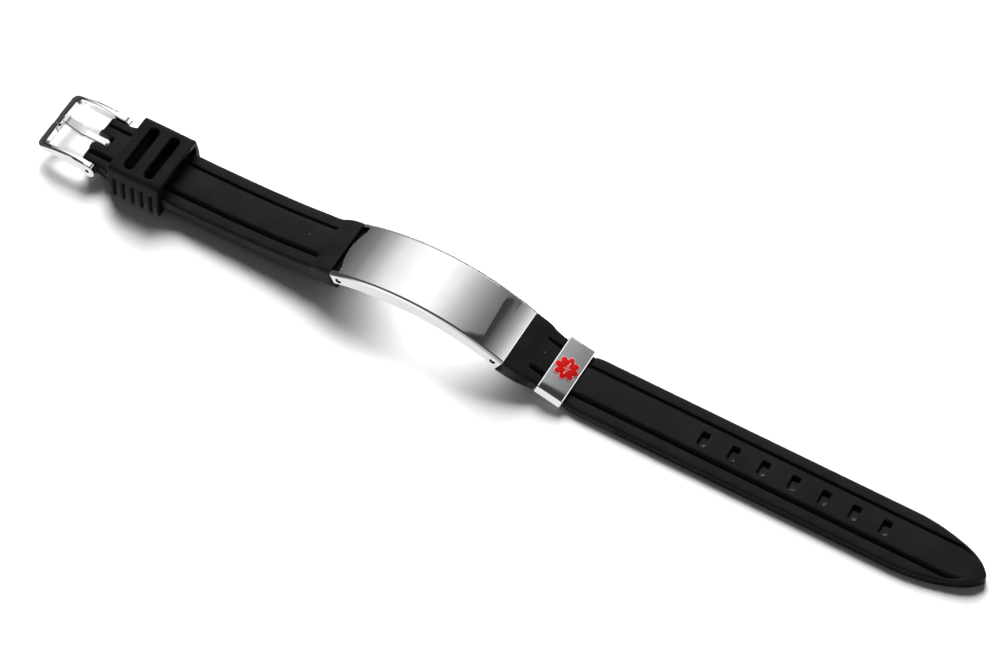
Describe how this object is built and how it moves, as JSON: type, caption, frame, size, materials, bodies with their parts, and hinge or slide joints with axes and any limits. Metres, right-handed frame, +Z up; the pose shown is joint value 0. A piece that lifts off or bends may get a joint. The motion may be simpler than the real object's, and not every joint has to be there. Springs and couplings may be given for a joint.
{
  "type": "medical alert bracelet",
  "caption": "Open medical alert bracelet lying flat: a curved polished steel plate between two black silicone straps, with a pin buckle, a rubber keeper and a steel sleeve with a red badge.",
  "frame": {"origin": "on the table, under the middle of the bracelet's length and width", "axes": "+X from the buckle to the strap's tip, +Y to the far side, +Z up"},
  "size_m": [0.2248, 0.0172, 0.013],
  "materials": {
    "polished_steel": "polished",
    "black_silicone": "satin",
    "red_enamel": "gloss"
  },
  "bodies": {
    "root": {"id_plate": "polished_steel", "plate_pin_buckle": "polished_steel", "plate_pin_tail": "polished_steel", "buckle_strap": "black_silicone", "tail_strap": "black_silicone", "keeper_loop": "black_silicone", "slider_sleeve": "polished_steel", "enamel_badge": "red_enamel", "spring_bar": "polished_steel"},
    "frame": {"buckle_frame": "polished_steel"},
    "tongue": {"buckle_tongue": "polished_steel"}
  },
  "joints": [
    {"name": "frame_hinge", "type": "hinge", "parent": "root", "child": "frame", "pos_m": [-0.09917, 0, 0.0036], "axis": [0, 1, 0], "range_deg": [-60, 40]},
    {"name": "tongue_hinge", "type": "hinge", "parent": "frame", "child": "tongue", "pos_m": [-0.09917, 0, 0.0036], "axis": [0, 1, 0], "range_deg": [0, 50]}
  ]
}
